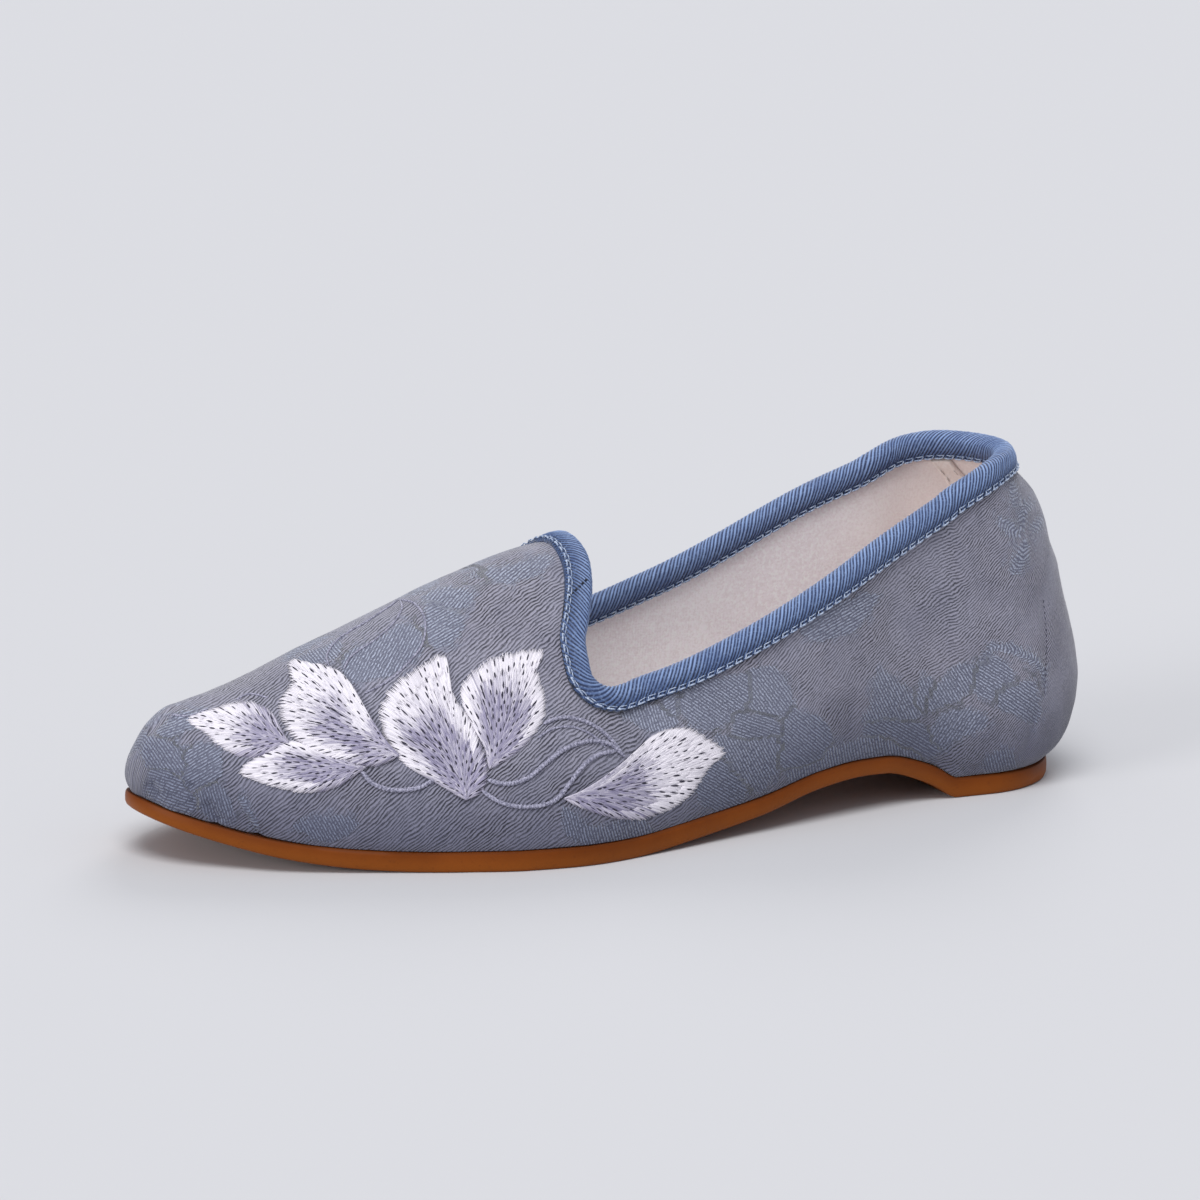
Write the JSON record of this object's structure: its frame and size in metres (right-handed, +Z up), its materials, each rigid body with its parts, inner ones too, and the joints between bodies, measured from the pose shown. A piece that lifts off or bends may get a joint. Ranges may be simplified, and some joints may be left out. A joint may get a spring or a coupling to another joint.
{
  "type": "chinese cloth shoe",
  "caption": "Low cloth slip-on shoe for the left foot with a hollow upper, a bound topline, a footbed with an inner heel lift and a thin rubber sole.",
  "frame": {"origin": "middle of the shoe's box on the floor", "axes": "+X towards the toe, +Y to the wearer's left, which is the outer side, +Z up"},
  "size_m": [0.2534, 0.0841, 0.0848],
  "materials": {
    "upper_cloth": "woven cotton, matt",
    "binding": "ribbed bias tape",
    "sole_rubber": "satin gum rubber",
    "footbed": "cotton lining, matt",
    "heel_tape": "cotton tape, matt",
    "lining": "cotton lining, matt",
    "embroidery": "silk floss, soft sheen",
    "thread": "sewing thread"
  },
  "bodies": {
    "root": {"upper": "upper_cloth", "collar_binding": "binding", "outsole": "sole_rubber", "insole": "footbed", "heel_tape": "heel_tape"}
  },
  "joints": []
}
